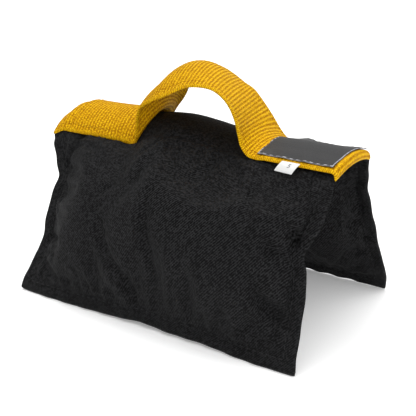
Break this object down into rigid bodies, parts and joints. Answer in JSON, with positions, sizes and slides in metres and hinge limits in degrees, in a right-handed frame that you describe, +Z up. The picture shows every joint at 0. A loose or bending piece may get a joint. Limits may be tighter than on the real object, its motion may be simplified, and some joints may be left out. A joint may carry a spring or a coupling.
{
  "type": "sandbag",
  "caption": "Small saddle sandbag: two filled cloth pouches hanging from a webbing-covered ridge with an arched webbing handle.",
  "frame": {"origin": "on the floor under the middle of the ridge", "axes": "+X along the ridge towards the label, +Y towards the rear pouch, +Z up"},
  "size_m": [0.2, 0.1404, 0.1447],
  "materials": {
    "nylon": "matte",
    "webbing": "matte",
    "label": "satin",
    "tag": "satin",
    "thread_black": "satin",
    "thread_yellow": "satin",
    "thread_grey": "satin",
    "liner_film": "satin",
    "cable_tie": "satin",
    "shot": "satin"
  },
  "bodies": {
    "spine": {"ridge_cover": "nylon", "ridge_lining": "nylon", "ridge_webbing": "webbing", "handle_left_foot": "webbing", "handle_right_foot": "webbing", "webbing_end_turn": "webbing", "woven_label": "label", "label_stitching": "thread_grey", "handle_foot_stitching": "thread_yellow", "left_edge_stitching_front": "thread_yellow", "left_edge_stitching_rear": "thread_yellow", "right_edge_stitching_front": "thread_yellow", "right_edge_stitching_rear": "thread_yellow"},
    "handle": {"handle_arch": "webbing"},
    "front_pouch": {"front_outer_panel": "nylon", "front_inner_panel": "nylon", "front_liner_bag": "liner_film", "front_liner_tie": "cable_tie", "front_shot_fill": "shot", "front_topstitching": "thread_black"},
    "tag": {"weight_tag": "tag"},
    "rear_pouch": {"rear_outer_panel": "nylon", "rear_inner_panel": "nylon", "rear_liner_bag": "liner_film", "rear_liner_tie": "cable_tie", "rear_shot_fill": "shot", "rear_topstitching": "thread_black"}
  },
  "joints": [
    {"name": "front_pouch_fold", "type": "hinge", "parent": "spine", "child": "front_pouch", "pos_m": [0, -0.02253, 0.09797], "axis": [-1, 0, 0], "range_deg": [-22, 67]},
    {"name": "rear_pouch_fold", "type": "hinge", "parent": "spine", "child": "rear_pouch", "pos_m": [0, 0.02253, 0.09797], "axis": [1, 0, 0], "range_deg": [-22, 67]},
    {"name": "handle_flop", "type": "hinge", "parent": "spine", "child": "handle", "pos_m": [0, 0, 0.108], "axis": [1, 0, 0], "range_deg": [-25, 25], "stiffness_Nm_per_rad": 0.05},
    {"name": "tag_flap", "type": "hinge", "parent": "front_pouch", "child": "tag", "pos_m": [0.0695, -0.0264, 0.0963], "axis": [-1, 0, 0], "range_deg": [0, 80]}
  ]
}
